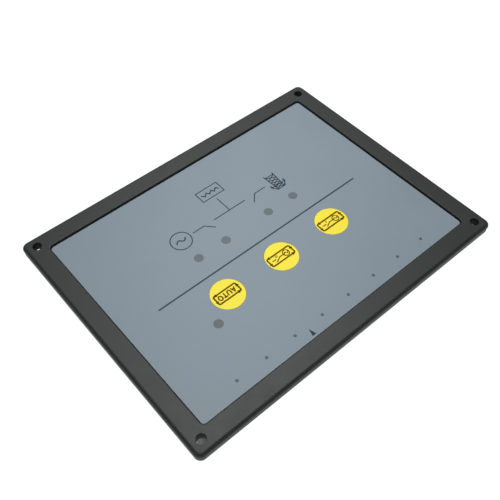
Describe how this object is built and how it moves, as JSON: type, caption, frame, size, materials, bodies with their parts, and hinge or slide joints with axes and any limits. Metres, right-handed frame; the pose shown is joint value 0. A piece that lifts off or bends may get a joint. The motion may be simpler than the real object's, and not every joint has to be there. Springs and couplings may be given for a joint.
{
  "type": "genset controller",
  "caption": "Flat rectangular generator controller for a panel: dark moulded bezel round a grey printed film with round keys, lamps and a mimic diagram, plug-in screw terminals behind.",
  "frame": {"origin": "centre of the hole pattern, on the flange's rear seating face", "axes": "+X to the right and +Y up the panel as its face reads, +Z out of the face"},
  "size_m": [0.1654, 0.1256, 0.038],
  "materials": {
    "case_plastic": "fine satin texture",
    "film_grey": "printed satin polyester",
    "cover_plastic": "fine satin texture",
    "zinc_screw": "zinc plated",
    "board_green": "solder mask",
    "switch_black": "moulded",
    "tinned_steel": "tinned",
    "dome_steel": "bright spring steel",
    "key_yellow": "printed satin polyester on a moulded key",
    "lamp_clear": "diffused lens",
    "lamp_green": "diffused lens",
    "lamp_red": "diffused lens",
    "chip_resin": "moulded epoxy",
    "can_steel": "drawn can",
    "capacitor_sleeve": "shrink sleeve",
    "relay_case": "moulded",
    "resistor_coat": "lacquer",
    "varistor_coat": "epoxy dip",
    "terminal_green": "moulded polyamide",
    "pin_brass": "tinned brass"
  },
  "bodies": {
    "housing": {"front_case": "case_plastic", "fascia_film": "film_grey", "rear_cover": "cover_plastic", "cover_screws": "zinc_screw", "circuit_board": "board_green", "board_screws": "zinc_screw", "switch_bases": "switch_black", "switch_covers": "tinned_steel", "on_dome": "dome_steel", "off_dome": "dome_steel", "auto_dome": "dome_steel", "mains_available_led": "lamp_clear", "mains_on_load_led": "lamp_green", "generator_on_load_led": "lamp_red", "generator_available_led": "lamp_green", "auto_led": "lamp_red", "led_leads": "tinned_steel", "microcontroller": "chip_resin", "microcontroller_leads": "tinned_steel", "crystal": "can_steel", "voltage_regulator": "chip_resin", "smoothing_capacitors": "capacitor_sleeve", "fuel_relay": "relay_case", "start_relay": "relay_case", "mains_relay": "relay_case", "generator_relay": "relay_case", "sensing_resistors": "resistor_coat", "surge_varistors": "varistor_coat", "dc_main_header": "terminal_green", "dc_aux_header": "terminal_green", "ac_main_header": "terminal_green", "ac_aux_header": "terminal_green", "header_pins": "pin_brass", "dc_main_plug": "terminal_green", "dc_aux_plug": "terminal_green", "ac_main_plug": "terminal_green", "ac_aux_plug": "terminal_green", "wire_clamps": "tinned_steel", "clamp_screws": "zinc_screw"},
    "on_button": {"on_key": "key_yellow"},
    "off_button": {"off_key": "key_yellow"},
    "auto_button": {"auto_key": "key_yellow"}
  },
  "joints": [
    {"name": "on_press", "type": "slide", "parent": "housing", "child": "on_button", "axis": [0, 0, -1], "range_m": [0, 0.00025], "stiffness_N_per_m": 6400, "deforming": ["on_dome"]},
    {"name": "off_press", "type": "slide", "parent": "housing", "child": "off_button", "axis": [0, 0, -1], "range_m": [0, 0.00025], "stiffness_N_per_m": 6400, "deforming": ["off_dome"]},
    {"name": "auto_press", "type": "slide", "parent": "housing", "child": "auto_button", "axis": [0, 0, -1], "range_m": [0, 0.00025], "stiffness_N_per_m": 6400, "deforming": ["auto_dome"]}
  ]
}
